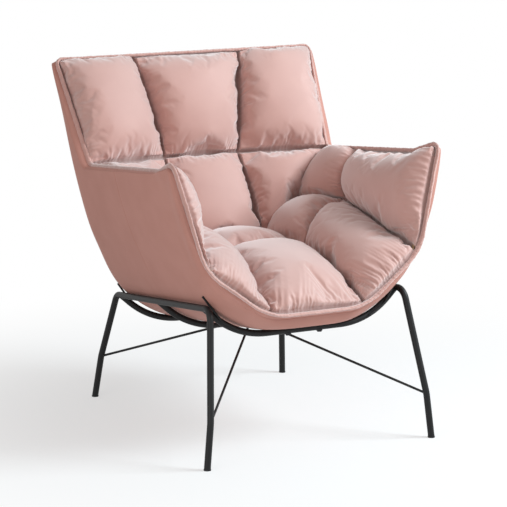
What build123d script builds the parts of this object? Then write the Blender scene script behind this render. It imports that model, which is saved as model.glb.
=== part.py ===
"""Quilted tub armchair on a bent steel-tube frame, in millimetres, facing -Y with +Z up.

The shell, its padding and the rails all lie in one frame that tips back by SEAT_TILT. Heights,
depths and half widths of those pieces are given in that tipped frame, the feet on the floor.
"""
import os
from math import atan2, cos, radians, sin, tan

from build123d import *

os.makedirs("parts", exist_ok=True)

# Overall stance
SEAT_TILT = 8.0
FOOTPRINT_SHIFT = 36.0
FRONT_FOOT_X = 300.0
FRONT_FOOT_Y = -354.0
REAR_FOOT_X = 272.0
REAR_FOOT_Y = 363.0
KNEE_HEIGHT = 109.0
FRONT_KNEE_X = 288.0
FRONT_KNEE_Y = -348.0
REAR_KNEE_X = 261.0
REAR_KNEE_Y = 345.0

# Steel frame
TUBE_OD = 16.0
TUBE_WALL = 1.5
KNEE_BEND = 90.0
FRONT_BEND = 30.0
REAR_BEND = 24.0
RAIL_HEIGHT = 316.0
RAIL_FRONT = -332.0
RAIL_REAR = 258.0
RAIL_FRONT_X = 257.0
RAIL_REAR_X = 235.0
CROSS_FRONT = -296.0
CROSS_MIDDLE = -20.0
CROSS_REAR = 229.0
CROSS_HEIGHT = 243.0
CROSS_RUN = 79.0
CROSS_BEND = 200.0
ROD_DIAMETER = 6.0
ROD_SINK = 0.8
ROD_NEST_ANGLE = 56.3
ROD_BEND = 10.0
STAY_DIAMETER = 5.0
STAY_RISE = 29.0
STAY_FRONT_INSET = 5.0
STAY_REAR_INSET = 16.0
STAY_ROOT_ANGLE = 22.0
STAY_TURN_ANGLE = 36.0
STAY_BEND = 45.0
FIT_GAP = 0.3

# Foot glides
GLIDE_FLANGE = 3.0
GLIDE_LIP = 0.7
GLIDE_PLUG = 16.0

# Shell layers
COVER = 2.0
CORE = 9.0
BELLY_HALF_FRONT = 88.0
BELLY_HALF_REAR = 78.0
RAIL_CLEAR = 13.0
RAIL_TUCK = 4.0
FLARE_RISE = 46.34
FLARE_FRONT = 31.72
FLARE_REAR = 40.2
ARM_TOP = 643.0
ARM_HALF_FRONT = 358.0
ARM_HALF_REAR = 348.0
ARM_DIP = 10.0
ARM_DIP_Y = -280.0
BACK_TOP = 906.0
BACK_HALF_FRONT = 370.0
BACK_HALF_REAR = 367.0
BACK_SPARE = 12.0
BACK_DEPTH = 48.0
FRONT_EDGE = -370.0
FRONT_REACH = 60.0
SHELL_REAR = 272.0
JUNCTION_Y = 149.0
BACK_CORNER_Y = 263.0
CUT_MARGIN = 200.0
HEAD_ROOM = 40.0

# Shell fixings
SCREW_X = 42.0
SCREW_DIAMETER = 6.0
SCREW_HEAD = 11.0
SCREW_HEAD_HEIGHT = 2.6
SCREW_SOCKET = 4.0
SCREW_SOCKET_DEPTH = 1.6
WASHER_DIAMETER = 15.0
WASHER_THICKNESS = 1.6
WASHER_WRAP = 3.0
NUT_BARREL = 8.4
NUT_FLANGE = 18.0
NUT_FLANGE_THICKNESS = 1.5
HOLE_CLEARANCE = 0.6
THREAD_GAP = 0.05

# Padding
SEAT_FRONT_RISE = 38.7
SEAT_REAR_RISE = 148.7
SEAT_SEAM_RISE = 44.0
REAR_SEAM_RISE = 20.0
SEAT_REAR_Y = 132.0
SEAT_CORNER_Y = 40.0
SEAT_MIDDLE_Y = -69.0
SEAT_HALF_FRONT = 126.0
SEAT_HALF_MIDDLE = 135.0
SEAT_HALF_CORNER = 125.0
SEAT_HALF_REAR = 115.0
ARM_SEAM_FRONT = 403.0
ARM_SEAM_MIDDLE = 512.0
ARM_SEAM_Y = -2.0
ARM_RIM_Y = -20.0
HIP_HALF = 246.0
HIP_HEIGHT = 500.0
HIP_BEHIND = 28.0
LUMBAR_HALF = 112.0
LUMBAR_HEIGHT = 524.0
LUMBAR_BEHIND = 44.0
TUFT_HALF = 103.0
TUFT_ABOVE = 11.0
TUFT_BEHIND = 84.0
TOP_SEAM_HALF = 149.0
TOP_SEAM_BEHIND = 16.0
WALL_FRONT = 14.0
WALL_ARM = 18.0
WALL_TIP = 20.0
WALL_RIM = 22.0
WALL_JUNCTION = 27.0
WALL_CORNER = 22.0
JUNCTION_STEP = 5.0
CORNER_STEP = 6.0
CELL_GAP = 1.0
CELL_SINK = 14.0
EDGE_CROWN = 0.09
SIDE_CROWN = 0.25
SHOULDER_CROWN = 0.76
SHOULDER = 0.17
SEAT_FRONT_CROWN = 78.0
SEAT_BACK_CROWN = 54.0
HIP_FRONT_CROWN = 68.0
HIP_REAR_CROWN = 62.0
ARM_CROWN = 58.0
LUMBAR_CROWN = 70.0
TOP_CROWN = 74.0
PIPING = 10.0
RIM_OUT = 10.0
RIM_GAP = 1.4
LIP_DROP = 3.0
JUNCTION_BEND = 24.0
CORNER_BEND = 7.0
DIP_BEND = 120.0
FRONT_RIM_BEND = 150.0

tilt = radians(SEAT_TILT)
SEAT = Plane(origin=(0, -FOOTPRINT_SHIFT, 0), x_dir=(1, 0, 0), z_dir=(0, sin(tilt), cos(tilt)))
shell_bottom = CROSS_HEIGHT + TUBE_OD / 2 + FIT_GAP
seat_front_height = shell_bottom + SEAT_FRONT_RISE
seat_slope = (SEAT_REAR_RISE - SEAT_FRONT_RISE) / (SEAT_REAR_Y - FRONT_EDGE)


def seat_point(x, y, z):
    """A point given in the tipped frame, in the chair's own frame."""
    return SEAT.from_local_coords(Vector(x, y, z))


def floor_point(x, y, z):
    """A point of the legs, measured from the floor."""
    return Vector(x, y - FOOTPRINT_SHIFT, z)


def bed_height(y):
    """Height of the flat seat bed at depth y."""
    return seat_front_height + seat_slope * (y - FRONT_EDGE)


def rail_x(y):
    """Half width between the side rails at depth y."""
    along = (y - RAIL_FRONT) / (RAIL_REAR - RAIL_FRONT)
    return RAIL_FRONT_X + along * (RAIL_REAR_X - RAIL_FRONT_X)


def swept_tube(points, bends, outside, bore=0.0):
    """A round tube or rod along straight runs joined by tangent bends."""
    with BuildPart() as tube:
        with BuildLine() as path:
            FilletPolyline(*points, radius=bends)
        with BuildSketch(Plane(origin=path.line @ 0, z_dir=path.line % 0)):
            Circle(outside / 2)
            if bore > 0:
                Circle(bore / 2, mode=Mode.SUBTRACT)
        sweep()
    return tube.part


def write(builder, name):
    """Label a finished piece and write it to its own file."""
    builder.part.label = name
    export_step(builder.part, f"parts/{name}.step")


# Side frames, each one bent tube from front foot to rear foot
def below_floor(foot, knee):
    """The foot point carried on down the leg's line, so that the floor cut is clean."""
    return foot + (foot - knee) * (TUBE_OD / KNEE_HEIGHT)


front_foot = floor_point(FRONT_FOOT_X, FRONT_FOOT_Y, 0)
front_knee = floor_point(FRONT_KNEE_X, FRONT_KNEE_Y, KNEE_HEIGHT)
rear_foot = floor_point(REAR_FOOT_X, REAR_FOOT_Y, 0)
rear_knee = floor_point(REAR_KNEE_X, REAR_KNEE_Y, KNEE_HEIGHT)
side_path = [
    below_floor(front_foot, front_knee),
    front_knee,
    seat_point(RAIL_FRONT_X, RAIL_FRONT, RAIL_HEIGHT),
    seat_point(RAIL_REAR_X, RAIL_REAR, RAIL_HEIGHT),
    rear_knee,
    below_floor(rear_foot, rear_knee),
]
side_bends = [KNEE_BEND, FRONT_BEND, REAR_BEND, KNEE_BEND]
tube_bore = TUBE_OD - 2 * TUBE_WALL
left_solid = swept_tube(side_path, side_bends, TUBE_OD)
right_solid = mirror(left_solid, about=Plane.YZ)

with BuildPart() as side_frame_left:
    add(swept_tube(side_path, side_bends, TUBE_OD, tube_bore))
    split(bisect_by=Plane.XY.offset(GLIDE_FLANGE), keep=Keep.TOP)
write(side_frame_left, "side_frame_left")

with BuildPart() as side_frame_right:
    mirror(side_frame_left.part, about=Plane.YZ)
write(side_frame_right, "side_frame_right")


# Cross tubes that sag under the shell, coped to the rails and drilled for the shell screws
def cross_path(y):
    """Corner points of a cross tube at depth y."""
    knuckle = rail_x(y) - CROSS_RUN
    return [
        seat_point(-rail_x(y), y, RAIL_HEIGHT),
        seat_point(-knuckle, y, CROSS_HEIGHT),
        seat_point(knuckle, y, CROSS_HEIGHT),
        seat_point(rail_x(y), y, RAIL_HEIGHT),
    ]


cross_depths = {"front": CROSS_FRONT, "middle": CROSS_MIDDLE, "rear": CROSS_REAR}
cross_solids = {}
for place, depth in cross_depths.items():
    cross_solids[place] = swept_tube(cross_path(depth), CROSS_BEND, TUBE_OD)
    with BuildPart() as cross_tube:
        add(swept_tube(cross_path(depth), CROSS_BEND, TUBE_OD, tube_bore))
        add(left_solid, mode=Mode.SUBTRACT)
        add(right_solid, mode=Mode.SUBTRACT)
        with BuildSketch(SEAT.offset(CROSS_HEIGHT)):
            with Locations((-SCREW_X, depth), (SCREW_X, depth)):
                Circle((SCREW_DIAMETER + HOLE_CLEARANCE) / 2)
        extrude(amount=TUBE_OD, both=True, mode=Mode.SUBTRACT)
    write(cross_tube, f"cross_tube_{place}")

# Brace rods, one bent rod between the front knees and one between the rear knees, which meet
# the middle cross tube from either side
nest_radius = TUBE_OD / 2 - ROD_SINK
nest_depth = nest_radius * cos(radians(ROD_NEST_ANGLE))
nest_height = CROSS_HEIGHT + nest_radius * sin(radians(ROD_NEST_ANGLE))
knees = {"front": (front_knee, -nest_depth), "rear": (rear_knee, nest_depth)}
for place, (knee, nest) in knees.items():
    rod_path = [
        knee,
        seat_point(0, CROSS_MIDDLE + nest, nest_height),
        Vector(-knee.X, knee.Y, knee.Z),
    ]
    with BuildPart() as brace_rod:
        add(swept_tube(rod_path, ROD_BEND, ROD_DIAMETER))
        for tube_solid in (left_solid, right_solid, cross_solids["middle"]):
            add(tube_solid, mode=Mode.SUBTRACT)
    write(brace_rod, f"brace_rod_{place}")


# Foot glides plugged into the tube ends
feet = {"front": (front_foot, front_knee), "rear": (rear_foot, rear_knee)}
for side, sign in (("left", 1), ("right", -1)):
    for place, (foot, knee) in feet.items():
        foot_at = Vector(sign * foot.X, foot.Y, foot.Z)
        up_leg = Vector(sign * knee.X, knee.Y, knee.Z) - foot_at
        plug_start = foot_at + up_leg * (GLIDE_FLANGE / KNEE_HEIGHT)
        with BuildPart() as foot_glide:
            with BuildSketch(Plane(origin=plug_start, z_dir=up_leg)):
                Circle(tube_bore / 2 - FIT_GAP)
            extrude(amount=GLIDE_PLUG)
            extrude(foot_glide.faces().sort_by(Axis.Z)[0], amount=GLIDE_FLANGE / 2)
            with BuildSketch(Plane.XY):
                with Locations((plug_start.X, plug_start.Y)):
                    Circle(TUBE_OD / 2 + GLIDE_LIP)
            extrude(amount=GLIDE_FLANGE)
        write(foot_glide, f"foot_glide_{place}_{side}")


# Shell outline: level outlines of the tub, from the belly to above the top of the back
class Level:
    """One closed outline of the tub, level in the tipped frame, between a lower and a higher one."""

    def __init__(self, low, high, shares, ends, corners, bow, lift=0.0):
        up, out_front, out_rear = shares
        self.height = low[0] + up * (high[0] - low[0])
        self.half_front = low[1] + out_front * (high[1] - low[1])
        self.half_rear = low[2] + out_rear * (high[2] - low[2])
        self.front, self.rear = ends
        self.front_corner, self.rear_corner = corners
        self.bow = bow
        self.lift = lift


beside_rail = TUBE_OD / 2 + RAIL_CLEAR
belly = (shell_bottom, BELLY_HALF_FRONT, BELLY_HALF_REAR)
rails = (RAIL_HEIGHT - RAIL_TUCK, RAIL_FRONT_X - beside_rail, RAIL_REAR_X - beside_rail)
flare = (rails[0] + FLARE_RISE, rails[1] + FLARE_FRONT, rails[2] + FLARE_REAR)
arms = (ARM_TOP, ARM_HALF_FRONT, ARM_HALF_REAR)
crest = (BACK_TOP + BACK_SPARE, BACK_HALF_FRONT, BACK_HALF_REAR)
crest_rear = BACK_CORNER_Y + BACK_DEPTH
LEVELS = [
    Level(belly, rails, (0, 0, 0), (FRONT_EDGE + 32, SHELL_REAR - 14), (60, 45), 3, 1.0),
    Level(belly, rails, (0.46, 0.70, 0.68), (FRONT_EDGE + 12, SHELL_REAR), (84, 78), 6, 0.6),
    Level(belly, rails, (1, 1, 1), (FRONT_EDGE + 2, SHELL_REAR + 7), (84, 80), 9, 0.3),
    Level(rails, flare, (1, 1, 1), (FRONT_EDGE - 10, SHELL_REAR + 10), (70, 80), 13, 0.1),
    Level(rails, arms, (0.326, 0.47, 0.53), (FRONT_EDGE - 20, SHELL_REAR + 8), (56, 77), 17),
    Level(rails, arms, (0.517, 0.665, 0.725), (FRONT_EDGE - 28, SHELL_REAR + 4), (46, 74), 21),
    Level(rails, arms, (0.758, 0.86, 0.89), (FRONT_EDGE - 35, SHELL_REAR), (42, 70), 25),
    Level(arms, crest, (0, 0, 0), (FRONT_EDGE - 39, SHELL_REAR), (40, 64), 27),
    Level(arms, crest, (0.32, 0.66, 0.47), (FRONT_EDGE - 41, crest_rear - 32), (40, 58), 26),
    Level(arms, crest, (0.658, 0.92, 0.79), (FRONT_EDGE - 42, crest_rear - 18), (40, 50), 23),
    Level(arms, crest, (1, 1, 1), (FRONT_EDGE - 42, crest_rear), (40, 42), 20),
]


def shell_half(y, z):
    """Half width of the shell at depth y and height z, straight between its levels."""
    above = next(level for level in LEVELS if level.height >= z)
    below = LEVELS[max(LEVELS.index(above) - 1, 0)]
    halves = []
    for level in (below, above):
        along = (y - level.front) / (level.rear - level.bow - level.front)
        halves.append(level.half_front + along * (level.half_rear - level.half_front))
    share = (z - below.height) / max(above.height - below.height, FIT_GAP)
    return halves[0] + share * (halves[1] - halves[0])


def tub(inset):
    """The closed tub, drawn in by inset all round and lifted by it at the belly."""
    with BuildPart() as body:
        for level in LEVELS:
            front = level.front + inset
            rear = level.rear - inset
            rear_side = rear - level.bow
            half_front = level.half_front - inset
            half_rear = level.half_rear - inset
            with BuildSketch(SEAT.offset(level.height + inset * level.lift)) as outline:
                with BuildLine():
                    Line((-half_front, front), (half_front, front))
                    Line((half_front, front), (half_rear, rear_side))
                    ThreePointArc((half_rear, rear_side), (0, rear), (-half_rear, rear_side))
                    Line((-half_rear, rear_side), (-half_front, front))
                make_face()
                fillet(outline.vertices().group_by(Axis.Y)[0], radius=level.front_corner - inset)
                fillet(outline.vertices().group_by(Axis.Y)[-1], radius=level.rear_corner - inset)
        loft()
    return body.part


# Thin stays beside the outer cross tubes, which rise past the rails to steady the shell
def on_cross_bend(y, turn):
    """A point on the lower bend of a cross tube at depth y, after a turn in degrees."""
    bend_start = rail_x(y) - CROSS_RUN - CROSS_BEND * tan(cross_turn / 2)
    swung = radians(turn)
    return bend_start + CROSS_BEND * sin(swung), CROSS_HEIGHT + CROSS_BEND * (1 - cos(swung))


cross_turn = atan2(RAIL_HEIGHT - CROSS_HEIGHT, CROSS_RUN)
beside = TUBE_OD / 2 + STAY_DIAMETER / 2 + FIT_GAP
stay_lines = {
    "front": (CROSS_FRONT, CROSS_FRONT - beside, LEVELS[3].half_front - STAY_FRONT_INSET),
    "rear": (CROSS_REAR, CROSS_REAR + beside, LEVELS[3].half_rear - STAY_REAR_INSET),
}
for place, (cross_y, stay_y, top_x) in stay_lines.items():
    root_x, root_z = on_cross_bend(cross_y, STAY_ROOT_ANGLE)
    turn_x, turn_z = on_cross_bend(cross_y, STAY_TURN_ANGLE)
    stay_path = [
        seat_point(root_x, stay_y, root_z),
        seat_point(turn_x, stay_y, turn_z),
        seat_point(top_x, stay_y, RAIL_HEIGHT + STAY_RISE),
    ]
    with BuildPart() as stay_left:
        add(swept_tube(stay_path, STAY_BEND, STAY_DIAMETER))
    write(stay_left, f"shell_stay_{place}_left")
    with BuildPart() as stay_right:
        mirror(stay_left.part, about=Plane.YZ)
    write(stay_right, f"shell_stay_{place}_right")


# Seam nodes of the quilted lining, on the left half, where the lining is sewn down
def bed_point(x, y):
    """A node on the flat seat bed."""
    return (x, y, bed_height(y))


def beyond(near, far, height):
    """The line from near to far, carried on to a height above the back."""
    share = (height - near[2]) / (far[2] - near[2])
    return tuple(a + share * (b - a) for a, b in zip(near, far))


def wall_point(y, z, wall):
    """A node at a wall's thickness inside the shell's side."""
    return (shell_half(y, z) - wall, y, z)


seat_seam_height = bed_height(SEAT_MIDDLE_Y) + SEAT_SEAM_RISE
rear_seam_height = bed_height(SEAT_REAR_Y) + REAR_SEAM_RISE
NODES = {
    "seat_front": bed_point(SEAT_HALF_FRONT, FRONT_EDGE),
    "seat_middle": bed_point(SEAT_HALF_MIDDLE, SEAT_MIDDLE_Y),
    "seat_corner": bed_point(SEAT_HALF_CORNER, SEAT_CORNER_Y),
    "seat_rear": bed_point(SEAT_HALF_REAR, SEAT_REAR_Y),
    "seat_seam": (SEAT_HALF_MIDDLE, SEAT_MIDDLE_Y, seat_seam_height),
    "rear_seam": (SEAT_HALF_REAR, SEAT_REAR_Y, rear_seam_height),
    "arm_front": wall_point(FRONT_EDGE, ARM_SEAM_FRONT, WALL_FRONT),
    "arm_middle": wall_point(ARM_SEAM_Y, ARM_SEAM_MIDDLE, WALL_ARM),
    "hip": (HIP_HALF, SEAT_REAR_Y + HIP_BEHIND, HIP_HEIGHT),
    "lumbar": (LUMBAR_HALF, SEAT_REAR_Y + LUMBAR_BEHIND, LUMBAR_HEIGHT),
    "tip": wall_point(FRONT_EDGE, ARM_TOP, WALL_TIP),
    "arm_rim": wall_point(ARM_RIM_Y, ARM_TOP, WALL_RIM),
    "junction": wall_point(JUNCTION_Y - JUNCTION_STEP, ARM_TOP, WALL_JUNCTION),
    "tuft": (TUFT_HALF, SEAT_REAR_Y + TUFT_BEHIND, ARM_TOP + TUFT_ABOVE),
    "top_corner": wall_point(BACK_CORNER_Y - CORNER_STEP, BACK_TOP, WALL_CORNER),
    "top_seam": (TOP_SEAM_HALF, BACK_CORNER_Y + TOP_SEAM_BEHIND, BACK_TOP),
}


def node(name):
    """A seam node; a name that ends in a minus is its mirror image on the right half."""
    x, y, z = NODES[name.rstrip("-")]
    return seat_point(-x if name.endswith("-") else x, y, z)


def ring(names):
    """A closed outline through nodes of the left half and their mirror images."""
    places = [NODES[name] if isinstance(name, str) else name for name in names]
    left = [seat_point(x, y, z) for x, y, z in places]
    right = [seat_point(-x, y, z) for x, y, z in reversed(places)]
    return Wire.make_polygon(left + right, close=True)


def ahead(name):
    """A front node moved forward, so that the seat space opens through the front."""
    x, y, z = NODES[name]
    return (x, y - FRONT_REACH, z)


head_room = BACK_TOP + HEAD_ROOM
front_bed = bed_point(NODES["seat_front"][0], FRONT_EDGE - FRONT_REACH)
space_rings = [
    ring([front_bed, "seat_middle", "seat_corner", "seat_rear"]),
    ring([ahead("arm_front"), "arm_middle", "hip", "lumbar"]),
    ring([ahead("tip"), "arm_rim", "junction", "tuft"]),
    ring([
        beyond(ahead("arm_front"), ahead("tip"), head_room),
        beyond(NODES["arm_middle"], NODES["arm_rim"], head_room),
        beyond(NODES["junction"], NODES["top_corner"], head_room),
        beyond(NODES["tuft"], NODES["top_seam"], head_room),
    ]),
]
side_view = Plane(origin=SEAT.origin, x_dir=SEAT.y_dir, z_dir=(1, 0, 0))
far_front = FRONT_EDGE - CUT_MARGIN
far_rear = BACK_CORNER_Y + CUT_MARGIN
far_top = BACK_TOP + CUT_MARGIN

# Everything under the humped seat bed, which is highest at the seam across the seat
with BuildPart() as under_bed:
    with BuildSketch(side_view):
        with BuildLine():
            Polyline(
                (far_front, seat_front_height),
                (FRONT_EDGE, seat_front_height),
                (SEAT_MIDDLE_Y, seat_seam_height),
                (SEAT_REAR_Y, rear_seam_height),
                (far_rear, rear_seam_height),
                (far_rear, 0),
                (far_front, 0),
                close=True,
            )
        make_face()
    extrude(amount=RAIL_FRONT_X + CUT_MARGIN, both=True)

with BuildPart() as seat_opening:
    add(Solid.make_loft(space_rings, ruled=True))
    add(under_bed.part, mode=Mode.SUBTRACT)
seat_space = seat_opening.part

# Everything above the arms, ahead of the back's side edges and over its top
with BuildPart() as above_rim:
    with BuildSketch(side_view):
        with BuildLine():
            Polyline(
                (far_front, ARM_TOP),
                (FRONT_EDGE, ARM_TOP),
                (ARM_DIP_Y, ARM_TOP - ARM_DIP),
                (JUNCTION_Y, ARM_TOP),
                (BACK_CORNER_Y, BACK_TOP),
                (far_rear, BACK_TOP),
                (far_rear, far_top),
                (far_front, far_top),
                close=True,
            )
        make_face()
        with BuildLine():
            Polyline(
                (far_front, 0),
                (FRONT_EDGE, 0),
                (FRONT_EDGE, ARM_TOP),
                (far_front, ARM_TOP),
                close=True,
            )
        make_face()
    extrude(amount=RAIL_FRONT_X + CUT_MARGIN, both=True)


tubs = {inset: tub(inset) for inset in (0.0, COVER, COVER + CORE)}


def shell_layer(outer, inner):
    """A layer of the shell between two insets, cut back to the rim."""
    with BuildPart() as layer:
        add(tubs[outer])
        if inner is not None:
            add(tubs[inner], mode=Mode.SUBTRACT)
        add(seat_space, mode=Mode.SUBTRACT)
        add(above_rim.part, mode=Mode.SUBTRACT)
    return layer.part


screw_spots = [(x, depth) for depth in cross_depths.values() for x in (-SCREW_X, SCREW_X)]
core_bottom = shell_bottom + COVER
foam_bottom = core_bottom + CORE
foam_pocket = NUT_FLANGE_THICKNESS + 2 * FIT_GAP


def pegs(diameter, start, length):
    """Round pegs at every shell screw, square to the belly."""
    with BuildPart() as peg_set:
        with BuildSketch(SEAT.offset(start)):
            with Locations(*screw_spots):
                Circle(diameter / 2)
        extrude(amount=length)
    return peg_set.part


with BuildPart() as outer_cover:
    add(shell_layer(0.0, COVER))
    add(pegs(SCREW_DIAMETER + HOLE_CLEARANCE, shell_bottom - COVER, 3 * COVER), mode=Mode.SUBTRACT)
write(outer_cover, "outer_cover")

with BuildPart() as shell_core:
    add(shell_layer(COVER, COVER + CORE))
    add(pegs(NUT_BARREL, core_bottom - COVER, CORE + 2 * COVER), mode=Mode.SUBTRACT)
write(shell_core, "shell_core")

foam_body = shell_layer(COVER + CORE, None)
with BuildPart() as seat_foam:
    add(foam_body)
    add(under_bed.part, mode=Mode.INTERSECT)
    add(pegs(NUT_FLANGE + 2 * FIT_GAP, foam_bottom - COVER, COVER + foam_pocket), mode=Mode.SUBTRACT)
write(seat_foam, "seat_foam")

with BuildPart() as side_foam:
    add(foam_body)
    add(under_bed.part, mode=Mode.SUBTRACT)
write(side_foam, "side_foam")

# Shell fixings: saddle washers under the tubes, screws, and tee nuts set in the core
tube_bottom = CROSS_HEIGHT - TUBE_OD / 2
head_top = tube_bottom - WASHER_THICKNESS
nut_top = foam_bottom + NUT_FLANGE_THICKNESS
with BuildPart() as saddle_washers:
    add(pegs(WASHER_DIAMETER, head_top, WASHER_THICKNESS + WASHER_WRAP))
    for cross_solid in cross_solids.values():
        add(cross_solid, mode=Mode.SUBTRACT)
    add(pegs(SCREW_DIAMETER + HOLE_CLEARANCE, head_top, TUBE_OD), mode=Mode.SUBTRACT)
write(saddle_washers, "saddle_washers")

with BuildPart() as shell_screws:
    add(pegs(SCREW_DIAMETER, head_top, nut_top - head_top))
    add(pegs(SCREW_HEAD, head_top - SCREW_HEAD_HEIGHT, SCREW_HEAD_HEIGHT))
    with BuildSketch(SEAT.offset(head_top - SCREW_HEAD_HEIGHT)):
        with Locations(*screw_spots):
            RegularPolygon(SCREW_SOCKET / 2, 6, major_radius=False)
    extrude(amount=SCREW_SOCKET_DEPTH, mode=Mode.SUBTRACT)
write(shell_screws, "shell_screws")

with BuildPart() as tee_nuts:
    add(pegs(NUT_BARREL - 2 * THREAD_GAP, core_bottom, CORE))
    add(pegs(NUT_FLANGE, foam_bottom, NUT_FLANGE_THICKNESS))
    add(pegs(SCREW_DIAMETER + 2 * THREAD_GAP, core_bottom, nut_top - core_bottom), mode=Mode.SUBTRACT)
write(tee_nuts, "tee_nuts")

# Quilted cells of the lining: crowned pads between the seams, each with the pads it gives way to
CELLS = {
    "seat_pad_front": (("seat_front-", "seat_front", "seat_seam", "seat_seam-"), SEAT_FRONT_CROWN, ()),
    "seat_pad_rear": (("seat_seam-", "seat_seam", "rear_seam", "rear_seam-"), SEAT_BACK_CROWN,
                      ("seat_pad_front",)),
    "hip_pad_front": (("seat_seam", "seat_front", "arm_front", "arm_middle"), HIP_FRONT_CROWN,
                      ("seat_pad_front", "seat_pad_rear")),
    "hip_pad_rear": (("rear_seam", "seat_seam", "arm_middle", "hip"), HIP_REAR_CROWN,
                     ("seat_pad_front", "seat_pad_rear", "hip_pad_front")),
    "lumbar_pad_centre": (("rear_seam-", "rear_seam", "tuft", "tuft-"), LUMBAR_CROWN, ("seat_pad_rear",)),
    "lumbar_pad": (("rear_seam", "hip", "junction", "tuft"), LUMBAR_CROWN,
                   ("seat_pad_rear", "hip_pad_rear", "lumbar_pad_centre")),
    "arm_pad_front": (("arm_middle", "arm_front", "tip", "arm_rim"), ARM_CROWN,
                      ("hip_pad_front", "hip_pad_rear")),
    "arm_pad_rear": (("hip", "arm_middle", "arm_rim", "junction"), ARM_CROWN,
                     ("hip_pad_front", "hip_pad_rear", "lumbar_pad", "arm_pad_front")),
    "back_pad_centre": (("tuft-", "tuft", "top_seam", "top_seam-"), TOP_CROWN, ("lumbar_pad_centre",)),
    "back_pad": (("tuft", "junction", "top_corner", "top_seam"), TOP_CROWN,
                 ("lumbar_pad", "lumbar_pad_centre", "arm_pad_rear", "back_pad_centre")),
}
CROWN_STEPS = [
    (0.0, EDGE_CROWN),
    (SHOULDER, SHOULDER_CROWN),
    (0.5, 1.0),
    (1.0 - SHOULDER, SHOULDER_CROWN),
    (1.0, EDGE_CROWN),
]
sitter = seat_point(0, (FRONT_EDGE + JUNCTION_Y) / 2, ARM_TOP)


def crowned_pad(corners, crown):
    """A pad over four seam nodes that swells towards the sitter, its root sunk in the bed."""
    middle = (corners[0] + corners[1] + corners[2] + corners[3]) * 0.25
    a, b, c, d = [p + (middle - p).normalized() * CELL_GAP for p in corners]
    facing = (c - a).cross(d - b).normalized()
    if facing.dot(sitter - middle) < 0:
        facing = facing * -1
    with BuildPart() as pad:
        for along, share in CROWN_STEPS:
            start = a + (d - a) * along
            end = b + (c - b) * along
            across = (end - start).normalized()
            out = (facing - across * facing.dot(across)).normalized()
            half = (end - start).length / 2
            top = crown * share
            side = top * SIDE_CROWN
            with BuildSketch(Plane(origin=(start + end) * 0.5, x_dir=across, z_dir=across.cross(out))):
                with BuildLine():
                    Polyline((-half, side), (-half, -CELL_SINK), (half, -CELL_SINK), (half, side))
                    ThreePointArc((half, side), (0, top), (-half, side))
                make_face()
        loft()
        add(seat_space, mode=Mode.INTERSECT)
    return pad.part


pads = {}
for name, (corner_names, crown, larger_pads) in CELLS.items():
    with BuildPart() as pad_cell:
        add(crowned_pad([node(corner) for corner in corner_names], crown))
        for larger in larger_pads:
            add(pads[larger], mode=Mode.SUBTRACT)
    pads[name] = pad_cell.part
    if "seat_pad" in name or "centre" in name:
        write(pad_cell, name)
        continue
    write(pad_cell, f"{name}_left")
    with BuildPart() as pad_mirror:
        mirror(pad_cell.part, about=Plane.YZ)
    write(pad_mirror, f"{name}_right")

# Piping sewn round the whole rim, standing proud of the shell's edge
proud = PIPING / 2 + RIM_GAP
rim_x = {name: NODES[name][0] + RIM_OUT for name in ("tip", "arm_rim", "junction", "top_corner")}
rim_half = [
    ((rim_x["top_corner"], BACK_CORNER_Y - proud, BACK_TOP + proud), CORNER_BEND),
    ((rim_x["junction"], JUNCTION_Y - proud, ARM_TOP + proud), JUNCTION_BEND),
    ((rim_x["arm_rim"], ARM_DIP_Y, ARM_TOP - ARM_DIP + proud), DIP_BEND),
    ((rim_x["tip"], FRONT_EDGE - proud, ARM_TOP + proud), CORNER_BEND),
    ((NODES["arm_front"][0] + RIM_OUT, FRONT_EDGE - proud, NODES["arm_front"][2]), FRONT_RIM_BEND),
    ((NODES["seat_front"][0], FRONT_EDGE - proud, seat_front_height - LIP_DROP), FRONT_RIM_BEND),
]
rim_left = [(seat_point(x, y, z), bend) for (x, y, z), bend in rim_half]
rim_right = [(seat_point(-x, y, z), bend) for (x, y, z), bend in reversed(rim_half)]
rim_points = [point for point, bend in rim_left + rim_right]
rim_bends = [bend for point, bend in rim_left + rim_right]
with BuildPart() as edge_piping:
    with BuildLine() as rim_path:
        FilletPolyline(*rim_points, radius=rim_bends, close=True)
    with BuildSketch(Plane(origin=rim_path.line @ 0, z_dir=rim_path.line % 0)):
        Circle(PIPING / 2)
    sweep()
write(edge_piping, "edge_piping")
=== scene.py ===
"""Looks of a quilted tub armchair on a bent steel-tube frame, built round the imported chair.

Metres, +Z up, the seat faces -Y and +X is the sitter's left. The shell and its quilted lining lie in
a frame that tips back by the seat tilt, and their places are given in that tipped frame.
"""
import copy
import math

import bmesh
import bpy
import numpy as np
from bpy.props import FloatProperty, FloatVectorProperty, IntProperty, PointerProperty
from mathutils import Matrix, Vector
from mathutils.bvhtree import BVHTree


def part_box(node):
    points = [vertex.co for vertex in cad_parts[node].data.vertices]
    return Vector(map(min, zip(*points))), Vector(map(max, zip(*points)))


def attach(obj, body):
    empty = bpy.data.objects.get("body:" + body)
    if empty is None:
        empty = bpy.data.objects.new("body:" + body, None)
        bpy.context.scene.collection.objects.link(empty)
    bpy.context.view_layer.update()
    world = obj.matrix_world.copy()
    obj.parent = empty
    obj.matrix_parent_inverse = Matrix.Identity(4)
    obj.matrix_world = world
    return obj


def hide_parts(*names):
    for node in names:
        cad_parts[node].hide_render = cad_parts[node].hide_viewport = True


bl_info = {
    "name": "Quilted Tub Armchair",
    "version": (1, 0, 0),
    "blender": (4, 5, 0),
    "location": "View3D > Sidebar > Armchair",
    "description": "Quilted lining, cover, piping and finishes of a tub armchair on a steel-tube frame",
    "category": "Object",
}

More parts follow.
